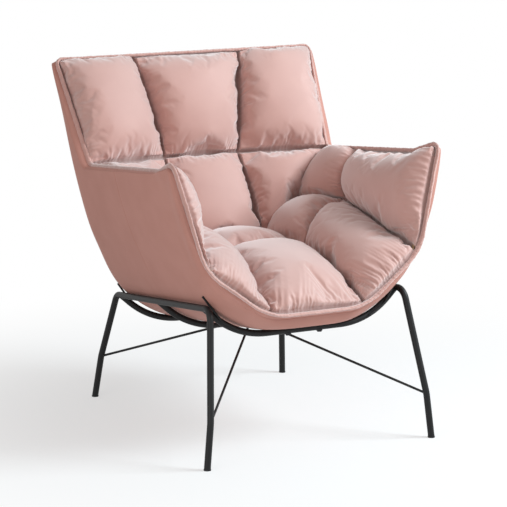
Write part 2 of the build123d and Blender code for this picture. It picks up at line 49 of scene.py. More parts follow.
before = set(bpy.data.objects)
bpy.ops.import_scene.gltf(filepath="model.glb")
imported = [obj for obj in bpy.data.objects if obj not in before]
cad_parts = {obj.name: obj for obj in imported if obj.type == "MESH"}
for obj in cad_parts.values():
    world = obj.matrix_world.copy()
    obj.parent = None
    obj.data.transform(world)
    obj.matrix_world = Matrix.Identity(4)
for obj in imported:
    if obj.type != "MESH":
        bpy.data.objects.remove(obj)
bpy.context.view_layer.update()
ROOT = "root"

STEEL = [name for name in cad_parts
         if name.startswith(("side_frame", "cross_tube", "brace_rod", "shell_stay"))]
GLIDES = [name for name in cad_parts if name.startswith("foot_glide")]
PADS = [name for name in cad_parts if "_pad_" in name or name.endswith("_foam")]
FIXINGS = ["shell_screws", "saddle_washers"]

# Rim of the tub on the sitter's left, crest to seat front: corner in the tipped frame, bend radius
RIM_HALF = [
    ((0.3570, 0.2575, 0.9150), 0.014),
    ((0.3325, 0.1426, 0.6494), 0.024),
    ((0.3400, -0.2850, 0.6384), 0.090),
    ((0.3505, -0.3810, 0.6570), 0.020),
    ((0.2821, -0.3764, 0.4030), 0.150),
    ((0.1260, -0.3764, 0.2870), 0.150),
]
# Step of the rim's points, steps round each of its bends, and passes that even out its ways
RIM_STEP = 0.003
ARC_STEPS = 12
WAY_PASSES = 20
# Edges of the lining and the cover: how far to either side of the rim they lie, and how deep in the piping
EDGE_INSET = 0.0028
EDGE_SINK = 0.0035

# Where the seams of the lining meet, on the sitter's left. A name that ends in a minus is the same
# place on the right
SEAM_NODES = {
    "lip_corner": (0.126, -0.375, 0.287),
    "arm_foot": (0.281, -0.375, 0.403),
    "arm_tip": (0.3505, -0.381, 0.657),
    "arm_notch": (0.338, -0.020, 0.6455),
    "shoulder": (0.338, 0.144, 0.648),
    "crest_corner": (0.355, 0.258, 0.911),
    "crest_seam": (0.149, 0.258, 0.911),
    "seat_side": (0.135, -0.069, 0.402),
    "arm_tuft": (0.297, -0.002, 0.518),
    "seat_rear": (0.120, 0.1195, 0.422),
    "hip_tuft": (0.235, 0.151, 0.506),
    "back_tuft": (0.103, 0.204, 0.654),
}
RIM_NODES = ("lip_corner", "arm_foot", "arm_tip", "arm_notch", "shoulder", "crest_corner", "crest_seam")
RIM_RUNS = [
    ("lip_corner", "arm_foot"), ("arm_foot", "arm_tip"), ("arm_tip", "arm_notch"),
    ("arm_notch", "shoulder"), ("shoulder", "crest_corner"), ("crest_corner", "crest_seam"),
]

# Mean lengths of the seams that share one count of stitches across the quilt, and which are gathered
SEAM_LENGTHS = {
    "across": 0.265, "flank": 0.200, "back": 0.280, "lumbar": 0.220, "hip": 0.175, "front": 0.350,
}
GATHERED = ("across", "flank", "lumbar")

# Seams that lie shallow: how far their middle is held up towards the sitter
SHALLOW = {
    ("arm_tuft", "seat_side"): 0.022,
    ("arm_notch", "arm_tuft"): 0.014,
    ("seat_side", "seat_side-"): 0.010,
}

# Cells of the lining: four corners, the seams along the first two sides, crown, lean out over the rim
CELLS = {
    "back_mid": (("back_tuft-", "back_tuft", "crest_seam", "crest_seam-"), "across", "back", 0.064, 0.22),
    "lumbar_mid": (("seat_rear-", "seat_rear", "back_tuft", "back_tuft-"), "across", "lumbar", 0.052, 0.0),
    "seat_rear": (("seat_side-", "seat_side", "seat_rear", "seat_rear-"), "across", "hip", 0.050, 0.0),
    "seat_front": (("lip_corner-", "lip_corner", "seat_side", "seat_side-"), "across", "front", 0.068, 0.3),
    "back": (("back_tuft", "shoulder", "crest_corner", "crest_seam"), "flank", "back", 0.064, 0.22),
    "lumbar": (("seat_rear", "hip_tuft", "shoulder", "back_tuft"), "flank", "lumbar", 0.050, 0.0),
    "arm_rear": (("hip_tuft", "arm_tuft", "arm_notch", "shoulder"), "hip", "lumbar", 0.048, 0.55),
    "arm_front": (("arm_tuft", "arm_foot", "arm_tip", "arm_notch"), "front", "lumbar", 0.052, 0.45),
    "hip_rear": (("seat_rear", "seat_side", "arm_tuft", "hip_tuft"), "hip", "flank", 0.052, 0.0),
    "hip_front": (("seat_side", "lip_corner", "arm_foot", "arm_tuft"), "front", "flank", 0.068, 0.3),
}
# A place inside the tub that every cell faces
SITTER = (0.0, -0.15, 0.62)
# Fullness of a cell near its seams, and how soon from there the gathers reach their height
CROWN_POWER = 0.40
GATHER_ONSET = 3
# What makes the gathers uneven, as waves: size and rate, and size with rates along and across the chair
GATHER_SWAY = (0.003, 37.0)
GATHER_DRIFT = ((2.6, 41.0, 2.0), (1.7, 97.0, 3.0))

# Puckers beside a seam: how fast they fade, where the small folds stand, how broad they are and how many
# stitches apart, and the strip along the seam where they start
PUCKER_FADE = 0.008
FOLD_PLACE = 0.014
FOLD_BREADTH = 0.015
FOLD_STITCHES = 2.2
PUCKER_ONSET = 0.003
# What makes the puckers uneven, as waves along a seam: size, rate and start
PUCKER_WANDER = ((1.6, 61.0, 0.0), (1.1, 143.0, 2.0))
PUCKER_MEAN = 0.6
PUCKER_SWING = (0.4, 29.0, 1.0)
# How far to each side a seam draws the cloth in, and how far the painted shade in the seam reaches
CREASE_REACH = 0.004
SHADE_REACH = 0.0040

# Hidden back of the lining: how many of its depths from the rim it is at full depth, the least share of
# that depth, and the stride through the rim's points when the distance is measured
SINK_RUN = 3
SINK_LEAST = 0.1
SINK_STRIDE = 8

# Cloth of the filling simulation
FABRIC = {
    "quality": 5, "mass": 0.2, "air_damping": 2.0, "pin_stiffness": 1.0,
    "tension_stiffness": 15.0, "compression_stiffness": 15.0, "shear_stiffness": 5.0,
    "bending_stiffness": 0.2, "use_pressure": True,
    "vertex_group_mass": "sewn", "vertex_group_shrink": "loose",
}

# Distances within which edges that meet are merged, within which a point lies on a seam, and too short
# to divide by
MERGE = {"seams": 0.0004, "back": 0.0005, "cover": 0.0002, "piping": 0.00005}
ON_SEAM = 1e-6
TINY = 1e-9

# Outer cover: its rows fan out from the hub, crowded towards the rim, and end in the belly
HUB = (0.0, -0.03, 0.50)
BELLY = (0.0, -0.03, 0.0)
ROW_POWER = 1.7
# From the middle of the shell's edge to its outside, and from how far the outside is looked for
SHELL_HALF = 0.0115
SHELL_REACH = 0.050
# The soft hollow runs along the rim in front of this place. Its breadth and the place of the swell
# before it are shares of its distance from the rim, measured with a stride through the rim's points
FRONT_RUN = -0.33
HOLLOW_BREADTH = 0.35
SWELL_PLACE = 0.45
HOLLOW_STRIDE = 4
# Side seams: half their breadth, the height where they end, and the length over which they fade out
SEAM_HALF = 0.003
SEAM_FOOT = 0.36
SEAM_FADE = 0.08

# Piping: how unevenly it swells and leans, the pitch of its lean, and how far out it is set
PIPING_SWELL = 0.20
PIPING_LEAN = 0.7
LEAN_PITCH = 3
PIPING_SET = 0.06
# Its ripples: their seeds, multiples of the pitch with their weights, and how they drift
STAND_SEED, SWELL_SEED, LEAN_SEED = 3, 8, 5
RIPPLES = ((0.5, 0.3), (1.0, 0.5), (2.0, 0.35), (4.0, 0.3))
RIPPLE_DRIFT = 0.6
DRIFT_TURNS = 7
# Where the stitches lie round the piping's section, and their length as a share of their step
STITCH_TURN = math.radians(62.0)
STITCH_SHARE = 0.66

# Cloths by sheen and gloss. Noises have a scale and a detail, blends two stops, bumps strength and depth
CLOTHS = {"quilted_cloth": (0.9, 0.7), "cover_cloth": (0.03, 0.3), "piping_cloth": (0.75, 0.6)}
CLOTH_ROUGHNESS = 0.62
SHEEN_ROUGHNESS = 0.68
MOTTLE = (14.0, 5.0)
MOTTLE_STOPS = (0.3, 0.62)
WEAVE = (520.0, 3.0)
WEAVE_BUMP = (0.12, 0.0006)
# Other finishes: roughness, gloss, metal, share of the darker tone, stretch and scale of the specks, bump
EVEN, WOOD_GRAIN = (1.0, 1.0, 1.0), (1.0, 1.0, 14.0)
FINISHES = {
    "powder_coat": (0.5, 0.3, 0.0, 0.75, EVEN, 900.0, 0.1),
    "glide_plastic": (0.42, 0.4, 0.0, 0.75, EVEN, 500.0, 0.1),
    "black_zinc": (0.38, 0.5, 0.8, 0.75, EVEN, 700.0, 0.1),
    "bright_zinc": (0.35, 0.5, 1.0, 0.75, EVEN, 300.0, 0.1),
    "plywood": (0.6, 0.3, 0.0, 0.75, WOOD_GRAIN, 30.0, 0.1),
    "thread": (0.55, 0.5, 0.0, 0.8, EVEN, 1500.0, 0.3),
}
SPECK_DETAIL = 4.0
SPECK_STOPS = (0.35, 0.65)
SPECK_DEPTH = 0.0004
# Sockets of a Mix node that blends colours
MIX_SHARE, MIX_FIRST, MIX_SECOND, MIX_COLOUR = 0, 6, 7, 2

# Lamps by place, size, power and tint, the place that they point at, and the light from all round
LAMPS = {
    "key": ((2.4, -1.7, 2.6), 1.5, 172.0, (0.84, 0.95, 1.0)),
    "fill": ((-3.2, -1.9, 1.6), 2.6, 44.0, (1.0, 0.97, 0.95)),
}
LAMP_TARGET = (0.0, 0.0, 0.45)
WORLD_LIGHT = 0.27
WHITE = (1.0, 1.0, 1.0, 1.0)
# Breadth of the camera's sensor in millimetres
SENSOR = 36.0
# Floor, and how it fades to white: from and to which distance, and how white it is under the chair
FLOOR_SIZE = 20.0
FLOOR_FINISH = {"Base Color": (0.88, 0.88, 0.88, 1.0), "Roughness": 0.9, "Specular IOR Level": 0.1}
FLOOR_FADE = {"From Min": 0.35, "From Max": 1.5, "To Min": 0.55}

# Tilt of the shell, and the shift that centres the chair's footprint
SEAT_TILT = math.radians(8.0)
TIP_COS = math.cos(SEAT_TILT)
TIP_SIN = math.sin(SEAT_TILT)
FOOTPRINT_SHIFT = 0.036


class LiningSettings(bpy.types.PropertyGroup):
    """Sizes of the quilted lining."""
    gather_step: FloatProperty(name="Gather step", description="Grid step along the gathered edges",
                               default=0.0036, unit="LENGTH")
    fill_step: FloatProperty(name="Fill step", description="Grid step across the gathers",
                             default=0.0048, unit="LENGTH")
    cut_share: FloatProperty(name="Cut share", description="Share of the crown that the cloth is cut to",
                             default=0.86, min=0.0, max=1.0)
    slack: FloatProperty(name="Slack", description="Extra cloth in each cell", default=0.06)
    gather: FloatProperty(name="Gather", description="Extra cloth along the front edge", default=0.22)
    gather_reach: FloatProperty(name="Gather reach", default=0.10, unit="LENGTH",
                                description="How far the gathers run back from the front edge")
    lean_reach: FloatProperty(name="Lean reach", description="How far in from the rim the cells lean",
                              default=0.05, unit="LENGTH")
    stitch: FloatProperty(name="Stitch", description="Step of the puckers along a seam", default=0.0095,
                          unit="LENGTH")
    pinch: FloatProperty(name="Pinch", description="Depth of the puckers at a seam", default=0.0020,
                         unit="LENGTH")
    fold: FloatProperty(name="Fold", description="Height of the small folds beside a seam", default=0.0009,
                        unit="LENGTH")
    crease: FloatProperty(name="Crease", description="How deep a seam draws the cloth in", default=0.0050,
                          unit="LENGTH")
    gather_pitch: FloatProperty(name="Gather pitch", description="Step of the gathers", default=0.016,
                                unit="LENGTH")
    ridge: FloatProperty(name="Ridge", description="Height that the gathers start from", default=0.0018,
                         unit="LENGTH")
    pressure: FloatProperty(name="Filling pressure", description="Push of the filling on the cloth",
                            default=4.0)
    frames: IntProperty(name="Frames", description="Steps of the simulation", default=24)
    most_rise: FloatProperty(name="Most rise", description="How far a point of the cloth may move",
                             default=0.045, unit="LENGTH")
    back_sink: FloatProperty(name="Back sink", description="Depth of the lining's hidden back",
                             default=0.012, unit="LENGTH")
    back_count: IntProperty(name="Back count", description="Steps of the hidden back across a cell",
                            default=8)


class CoverSettings(bpy.types.PropertyGroup):
    """Sizes of the outer cover."""
    around: IntProperty(name="Around", description="Columns of the cover round the rim", default=360)
    down: IntProperty(name="Down", description="Rows of the cover from the rim to the belly", default=56)
    skin: FloatProperty(name="Skin", description="Thickness of the cloth", default=0.0015, unit="LENGTH")
    shoulder: FloatProperty(name="Shoulder", default=0.0085, unit="LENGTH",
                            description="From the rim down to where the cloth meets the outside")
    shoulder_rise: FloatProperty(name="Shoulder rise", default=0.0050, unit="LENGTH",
                                 description="Fullness of the cloth over the shell's edge")
    shoulder_rows: IntProperty(name="Shoulder rows", default=4,
                               description="Rows of the cover over the shell's edge")
    groove: FloatProperty(name="Groove", description="Depth of the soft hollow behind the front edge",
                          default=0.0010, unit="LENGTH")
    ridge: FloatProperty(name="Ridge", default=0.0030, unit="LENGTH",
                         description="Height of the soft swell between the front edge and the hollow")
    groove_back: FloatProperty(name="Groove back", description="From the front edge to the hollow",
                               default=0.046, unit="LENGTH")
    seam_back: FloatProperty(name="Seam place", default=-0.052, unit="LENGTH",
                             description="Where the side seams cross the shell, front to back")
    seam: FloatProperty(name="Seam depth", description="Depth of the side seams", default=0.0014,
                        unit="LENGTH")


class PipingSettings(bpy.types.PropertyGroup):
    """Sizes of the folded piping round the rim."""
    width: FloatProperty(name="Width", description="Breadth of the fold, root to outer edge",
                         default=0.0135, unit="LENGTH")
    thickness: FloatProperty(name="Thickness", description="Thickness of the fold", default=0.0082,
                             unit="LENGTH")
    ruffle: FloatProperty(name="Ruffle", description="Unevenness of the fold", default=0.0010,
                          unit="LENGTH")
    pitch: FloatProperty(name="Pitch", description="Step of the pinches along the fold", default=0.009,
                         unit="LENGTH")
    sides: IntProperty(name="Sides", description="Faces round the fold", default=14)
    stitch: FloatProperty(name="Stitch", description="Step of the stitches along the fold", default=0.0072,
                          unit="LENGTH")
    thread: FloatProperty(name="Thread", description="Thickness of the thread", default=0.0010,
                          unit="LENGTH")


class FinishSettings(bpy.types.PropertyGroup):
    """Colours of the chair."""
    cloth: FloatVectorProperty(name="Cloth", description="Colour of the quilted cloth", subtype="COLOR",
                               size=3, default=(0.50, 0.232, 0.186))
    cloth_shade: FloatVectorProperty(name="Cloth shade", description="Darker tone in the cloth",
                                     subtype="COLOR", size=3, default=(0.472, 0.213, 0.169))
    # Painted shade: the dark colour that the lining's colour turns to down in its seams, standing in for
    # the shade in the creases
    crease: FloatVectorProperty(name="Crease", description="Tone of the cloth down in the seams",
                                subtype="COLOR", size=3, default=(0.20, 0.072, 0.052))
    thread: FloatVectorProperty(name="Thread", description="Colour of the stitches", subtype="COLOR",
                                size=3, default=(0.66, 0.42, 0.37))
    powder: FloatVectorProperty(name="Powder coat", description="Colour of the steel", subtype="COLOR",
                                size=3, default=(0.006, 0.006, 0.0065))
    plastic: FloatVectorProperty(name="Plastic", description="Colour of the glides", subtype="COLOR",
                                 size=3, default=(0.010, 0.010, 0.011))
    fixings: FloatVectorProperty(name="Fixings", description="Colour of the screws and washers",
                                 subtype="COLOR", size=3, default=(0.030, 0.030, 0.033))
    zinc: FloatVectorProperty(name="Zinc", description="Colour of the tee nuts", subtype="COLOR",
                              size=3, default=(0.52, 0.53, 0.55))
    plywood: FloatVectorProperty(name="Plywood", description="Colour of the shell", subtype="COLOR",
                                 size=3, default=(0.40, 0.26, 0.15))


class StageSettings(bpy.types.PropertyGroup):
    """Where the camera stands and what it sees."""
    azimuth: FloatProperty(name="Azimuth", description="Turn of the camera round the chair",
                           default=math.radians(-27.091), subtype="ANGLE")
    elevation: FloatProperty(name="Elevation", description="Height angle of the camera",
                             default=math.radians(11.504), subtype="ANGLE")
    distance: FloatProperty(name="Distance", description="From the camera to the chair", default=5.546,
                            unit="LENGTH")
    target_height: FloatProperty(name="Target height", description="Height that the camera looks at",
                                 default=0.415, unit="LENGTH")
    lens: FloatProperty(name="Lens", description="Focal length in millimetres", default=160.82)


# Places in the tipped frame
def chair_points(places):
    """An array of places in the tipped frame, in the chair's own frame."""
    places = np.asarray(places, float)
    x, y, z = places[..., 0], places[..., 1], places[..., 2]
    return np.stack([x, y * TIP_COS + z * TIP_SIN - FOOTPRINT_SHIFT, z * TIP_COS - y * TIP_SIN], axis=-1)


def tipped_points(places):
    """An array of places in the chair's own frame, in the tipped frame."""
    places = np.asarray(places, float)
    x, y, z = places[..., 0], places[..., 1] + FOOTPRINT_SHIFT, places[..., 2]
    return np.stack([x, y * TIP_COS - z * TIP_SIN, y * TIP_SIN + z * TIP_COS], axis=-1)


def mirrored(place):
    """The same place on the sitter's right."""
    return (-place[0], place[1], place[2])


def node_tree(name):
    """A closed look-up tree of a CAD node, in the chair's own frame."""
    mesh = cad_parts[name].data
    mesh.calc_loop_triangles()
    faces = [tuple(triangle.vertices) for triangle in mesh.loop_triangles]
    return BVHTree.FromPolygons([vertex.co for vertex in mesh.vertices], faces)


def rim_ways(points):
    """Unit ways out from the shell's edge and in towards the sitter, all round the rim."""
    places = chair_points(points)
    along = np.roll(places, -1, axis=0) - np.roll(places, 1, axis=0)
    along /= np.linalg.norm(along, axis=1, keepdims=True)
    tree = node_tree("shell_core")
    out = np.array([np.array(place) - np.array(tree.find_nearest(Vector(place))[0]) for place in places])
    out /= np.linalg.norm(out, axis=1, keepdims=True)
    for _ in range(WAY_PASSES):
        out = (np.roll(out, 1, axis=0) + 2 * out + np.roll(out, -1, axis=0)) / 4
    out -= along * (out * along).sum(1, keepdims=True)
    out /= np.linalg.norm(out, axis=1, keepdims=True)
    inward = np.cross(along, out)
    inward *= np.sign((inward * (chair_points(SITTER) - places)).sum(1, keepdims=True))
    return out, inward


class Rim:
    """The closed line of the rim, as evenly spaced points in the tipped frame."""

    def __init__(self):
        left = [(Vector(place), bend) for place, bend in RIM_HALF]
        right = [(Vector(mirrored(place)), bend) for place, bend in reversed(left)]
        corners = left + right
        traced = []
        for index, (corner, bend) in enumerate(corners):
            before = (corners[index - 1][0] - corner).normalized()
            after = (corners[(index + 1) % len(corners)][0] - corner).normalized()
            half = before.angle(after) / 2
            turn = math.pi - 2 * half
            centre = corner + (before + after).normalized() * (bend / math.sin(half))
            start = corner + before * (bend / math.tan(half)) - centre
            end = corner + after * (bend / math.tan(half)) - centre
            for step in range(ARC_STEPS + 1):
                share = step / ARC_STEPS
                swung = start * math.sin((1 - share) * turn) + end * math.sin(share * turn)
                traced.append(centre + swung / math.sin(turn))
        traced.append(traced[0])
        line = np.array([list(point) for point in traced])
        along = np.concatenate([[0.0], np.cumsum(np.linalg.norm(np.diff(line, axis=0), axis=1))])
        self.length = along[-1]
        wanted = np.linspace(0.0, self.length, int(self.length / RIM_STEP), endpoint=False)
        self.points = np.stack([np.interp(wanted, along, line[:, axis]) for axis in range(3)], axis=1)

    def nearest(self, place):
        """Index of the rim point nearest a place."""
        return int(np.argmin(np.linalg.norm(self.points - np.array(place), axis=1)))

    def run(self, start, end, count):
        """Evenly spaced points along the shorter way between two places on the rim."""
        total = len(self.points)
        first, last = self.nearest(start), self.nearest(end)
        ahead = (last - first) % total
        if ahead > total / 2:
            ahead -= total
        return self.at((first + np.linspace(0, ahead, count + 1)) / total)

    def at(self, shares):
        """Points at shares of the way round the rim."""
        total = len(self.points)
        spot = np.asarray(shares, float) * total
        low = np.floor(spot).astype(int)
        part = (spot - low)[..., None]
        return self.points[low % total] * (1 - part) + self.points[(low + 1) % total] * part

    def beside(self, moves):
        """The same line with each of its points moved."""
        moved = copy.copy(self)
        moved.points = tipped_points(chair_points(self.points) + moves)
        return moved


RIM = Rim()
RIM_OUT, RIM_IN = rim_ways(RIM.points)
LINING_RIM = RIM.beside(RIM_IN * EDGE_INSET - RIM_OUT * EDGE_SINK)
COVER_RIM = RIM.beside(-RIM_IN * EDGE_INSET - RIM_OUT * EDGE_SINK)
SEAM_NODES.update({name + "-": mirrored(place) for name, place in SEAM_NODES.items()})
for rim_node in RIM_NODES:
    for side in ("", "-"):
        on_rim = LINING_RIM.nearest(SEAM_NODES[rim_node + side])
        SEAM_NODES[rim_node + side] = tuple(LINING_RIM.points[on_rim])
ON_RIM = {frozenset(run) for run in RIM_RUNS}
ON_RIM |= {frozenset((a + "-", b + "-")) for a, b in RIM_RUNS}
ON_RIM |= {frozenset((name, name + "-")) for name in ("lip_corner", "crest_seam")}


# Mesh helpers
def keep_mesh(bm, mesh):
    """Put a finished bmesh into a mesh, shaded smooth."""
    for face in bm.faces:
        face.smooth = True
    bm.to_mesh(mesh)
    bm.free()


def new_piece(name, bm, material):
    """An object of a finished bmesh, riding on the chair."""
    mesh = bpy.data.meshes.new(name)
    keep_mesh(bm, mesh)
    piece = bpy.data.objects.new(name, mesh)
    bpy.context.scene.collection.objects.link(piece)
    mesh.materials.append(material)
    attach(piece, ROOT)
    return piece


def grid_shares(vert, columns, rows):
    """Column and row of a vertex of a unit grid."""
    return int(round((vert.co.x + 0.5) * columns)), int(round((vert.co.y + 0.5) * rows))


def placed_grid(bm, places):
    """A grid laid on an array of places, with its vertices and their columns and rows."""
    columns, rows = places.shape[0] - 1, places.shape[1] - 1
    verts = bmesh.ops.create_grid(bm, x_segments=columns, y_segments=rows, size=0.5)["verts"]
    spots = [grid_shares(vert, columns, rows) for vert in verts]
    for vert, (column, row) in zip(verts, spots):
        vert.co = places[column, row]
    return verts, spots


def mesh_places(mesh):
    """The vertices of a mesh as an array."""
    flat = np.zeros(len(mesh.vertices) * 3, np.float32)
    mesh.vertices.foreach_get("co", flat)
    return flat.reshape(-1, 3).astype(float)


def subdivide(piece):
    """A live subdivision surface of one level."""
    surface = piece.modifiers.new("Subdivision", "SUBSURF")
    surface.levels = 1
    surface.render_levels = 1
    return surface


def evaluated_mesh(piece):
    """A new mesh of a piece as its modifiers leave it."""
    graph = bpy.context.evaluated_depsgraph_get()
    return bpy.data.meshes.new_from_object(piece.evaluated_get(graph))


def swap_mesh(piece, mesh):
    """Give a piece another mesh and take its modifiers off."""
    old = piece.data
    piece.modifiers.clear()
    piece.data = mesh
    bpy.data.meshes.remove(old)


# Lining
def seam_points(start, end, count):
    """Points along a seam from node to node."""
    if frozenset((start, end)) in ON_RIM:
        return LINING_RIM.run(SEAM_NODES[start], SEAM_NODES[end], count)
    share = np.linspace(0.0, 1.0, count + 1)[:, None]
    first, last = np.array(SEAM_NODES[start]), np.array(SEAM_NODES[end])
    line = first * (1 - share) + last * share
    on_left = tuple(sorted((start[:-1], end[:-1])))
    hold = SHALLOW.get(tuple(sorted((start, end)))) or SHALLOW.get(on_left, 0.0)
    towards = np.array(SITTER) - (first + last) / 2
    return line + hold * 4 * share * (1 - share) * towards / np.linalg.norm(towards)


def cell_bed(corners, columns, rows):
    """The sheet stretched between the four seams of a cell."""
    a, b, c, d = corners
    low, high = seam_points(a, b, columns), seam_points(d, c, columns)
    near, far = seam_points(a, d, rows), seam_points(b, c, rows)
    u = np.linspace(0.0, 1.0, columns + 1)[:, None, None]
    v = np.linspace(0.0, 1.0, rows + 1)[None, :, None]
    at_a, at_b, at_c, at_d = (np.array(SEAM_NODES[name]) for name in corners)
    blend = (1 - u) * (1 - v) * at_a + u * (1 - v) * at_b + u * v * at_c + (1 - u) * v * at_d
    return (1 - v) * low[:, None] + v * high[:, None] + (1 - u) * near[None] + u * far[None] - blend


def facing(bed):
    """Mean direction of a sheet that points towards the sitter."""
    normals = np.cross(np.gradient(bed, axis=0), np.gradient(bed, axis=1))
    mean = normals.mean((0, 1))
    mean /= np.linalg.norm(mean)
    if np.dot(np.array(SITTER) - bed.mean((0, 1)), mean) < 0:
        mean = -mean
    return mean


def pillow(columns, rows):
    """Crown of a cell from 0 at its seams to 1 in the middle."""
    u = np.linspace(0.0, 1.0, columns + 1)[:, None]
    v = np.linspace(0.0, 1.0, rows + 1)[None, :]
    return (4 * u * (1 - u)) ** CROWN_POWER * (4 * v * (1 - v)) ** CROWN_POWER


def gather_phase(bed, pitch):
    """Uneven phase of the gathers along the front edge."""
    sway, sway_rate = GATHER_SWAY
    along = np.abs(bed[..., 0]) + bed[..., 2] + sway * np.sin(sway_rate * bed[..., 1])
    drift = sum(size * np.sin(rate * along + skew * bed[..., 0]) for size, rate, skew in GATHER_DRIFT)
    return 2 * math.pi * along / pitch + drift


def lining_cells():
    """Every cell of the lining with its corners, seams and crown, on both sides."""
    for corners, first, second, crown, over in CELLS.values():
        yield corners, first, second, crown, over
        if not any(corner.endswith("-") for corner in corners):
            yield tuple(corner + "-" for corner in corners), first, second, crown, over


def turn_to_sitter(bm, verts, centre):
    """Turn a cell's faces towards the sitter."""
    faces = list({face for vert in verts for face in vert.link_faces})
    bmesh.ops.recalc_face_normals(bm, faces=faces)
    total = Vector()
    for face in faces:
        total += face.normal
    if total.dot(Vector(chair_points(SITTER)) - Vector(chair_points(centre))) < 0:
        bmesh.ops.reverse_faces(bm, faces=faces)


def rim_lean(corners, bed, reach):
    """Lean of each place of a cell out over those of its edges that lie on the rim."""
    u = np.linspace(0.0, 1.0, bed.shape[0])[:, None, None]
    v = np.linspace(0.0, 1.0, bed.shape[1])[None, :, None]
    a, b, c, d = corners
    fore, side = bed[:, :1] - bed[:, -1:], bed[:1] - bed[-1:]
    lean = np.zeros_like(bed)
    edges = (((a, b), fore, v), ((c, d), -fore, 1 - v), ((a, d), side, u), ((b, c), -side, 1 - u))
    for edge, away, share in edges:
        if frozenset(edge) in ON_RIM:
            length = np.linalg.norm(away, axis=-1, keepdims=True)
            lean += np.exp(-share * length / reach) * away / length
    return lean


def seam_distances(bed):
    """How far each place of a cell lies from its nearest seam, and how far along that seam."""
    wide = np.linalg.norm(np.diff(bed, axis=0), axis=-1).sum(0).mean()
    high = np.linalg.norm(np.diff(bed, axis=1), axis=-1).sum(1).mean()
    across, up = np.linspace(0.0, wide, bed.shape[0]), np.linspace(0.0, high, bed.shape[1])
    u, v = np.meshgrid(across, up, indexing="ij")
    aside, above = np.minimum(u, wide - u), np.minimum(v, high - v)
    return np.minimum(aside, above), np.where(aside < above, v, u)


def sewn_sheet(sizes):
    """The cut cloth of every cell, with its seams, its slack and its distances from the seams."""
    counts = {}
    for seam, length in SEAM_LENGTHS.items():
        step = sizes.gather_step if seam in GATHERED else sizes.fill_step
        counts[seam] = int(length / step)
    bm = bmesh.new()
    layers = {name: bm.verts.layers.float.new(name) for name in ("sewn", "loose", "near", "run")}
    front = min(place[1] for place, _ in RIM_HALF)
    for index, (corners, first, second, crown, over) in enumerate(lining_cells()):
        bed = cell_bed(corners, counts[first], counts[second])
        loose = np.clip(1.0 - (bed[..., 1] - front) / sizes.gather_reach, 0.0, 1.0)
        ridge = sizes.ridge * loose * np.sin(gather_phase(bed, sizes.gather_pitch))
        shape = pillow(counts[first], counts[second])
        rise = crown * sizes.cut_share * shape + ridge * np.minimum(1.0, GATHER_ONSET * shape)
        way = facing(bed) + over * rim_lean(corners, bed, sizes.lean_reach)
        near, run = seam_distances(bed)
        values = {"sewn": (near < ON_SEAM).astype(float), "loose": loose, "near": near, "run": run + index}
        verts, spots = placed_grid(bm, chair_points(bed + rise[..., None] * way))
        for vert, spot in zip(verts, spots):
            for layer, value in values.items():
                vert[layers[layer]] = value[spot]
        turn_to_sitter(bm, verts, bed.mean((0, 1)))
    return bm


def back_sheet(bm, sizes):
    """The lining's hidden back: a coarse sheet sunk away from the sitter, joined on at the rim."""
    rim_edges = [edge for edge in bm.edges if edge.is_boundary]
    added = []
    for cell in lining_cells():
        bed = cell_bed(cell[0], sizes.back_count, sizes.back_count)
        away = bed - np.array(SITTER)
        away /= np.linalg.norm(away, axis=-1, keepdims=True)
        apart = np.linalg.norm(bed[:, :, None] - RIM.points[::SINK_STRIDE], axis=-1).min(-1)
        sink = sizes.back_sink * np.clip(apart / (SINK_RUN * sizes.back_sink), SINK_LEAST, 1.0)
        added += placed_grid(bm, chair_points(bed + sink[..., None] * away))[0]
    bmesh.ops.remove_doubles(bm, verts=added, dist=MERGE["back"])
    rear_edges = [edge for edge in bm.edges if edge.is_boundary and edge not in set(rim_edges)]
    bmesh.ops.bridge_loops(bm, edges=rim_edges + rear_edges)
    bmesh.ops.recalc_face_normals(bm, faces=bm.faces)


def weigh(piece, attribute):
    """A vertex group from a float attribute."""
    values = values_of(piece.data, attribute)
    group = piece.vertex_groups.new(name=attribute)
    for index in np.nonzero(values > 0.0)[0]:
        group.add([int(index)], float(values[index]), "REPLACE")


def values_of(mesh, attribute):
    """A float attribute of a mesh as an array."""
    values = np.zeros(len(mesh.vertices), np.float32)
    mesh.attributes[attribute].data.foreach_get("value", values)
    return values.astype(float)


def pucker(mesh, sizes):
    """Pinch the filled cloth along its seams, stitch by stitch."""
    near, run = values_of(mesh, "near"), values_of(mesh, "run")
    normals = np.zeros(len(mesh.vertices) * 3, np.float32)
    mesh.vertices.foreach_get("normal", normals)
    wander = sum(size * np.sin(rate * run + start) for size, rate, start in PUCKER_WANDER)
    stitch = np.exp(-near / PUCKER_FADE) * (0.5 + 0.5 * np.cos(2 * math.pi * run / sizes.stitch + wander))
    turn = 2 * math.pi * run / (FOLD_STITCHES * sizes.stitch) + 2 * wander
    fold = np.exp(-((near - FOLD_PLACE) / FOLD_BREADTH) ** 2) * np.sin(turn)
    swing, rate, start = PUCKER_SWING
    strength = PUCKER_MEAN + swing * np.sin(rate * run + start)
    lift = np.minimum(1.0, near / PUCKER_ONSET) * strength * (sizes.fold * fold - sizes.pinch * stitch)
    places = mesh_places(mesh) + normals.reshape(-1, 3) * lift[:, None]
    mesh.vertices.foreach_set("co", places.astype(np.float32).ravel())


def sink_seams(bm, sizes):
    """Draw the sewn lines in, so that the cells meet in a crease."""
    near = bm.verts.layers.float["near"]
    bm.normal_update()
    for vert in bm.verts:
        if not vert.is_boundary:
            vert.co -= vert.normal * (sizes.crease * math.exp(-(vert[near] / CREASE_REACH) ** 2))


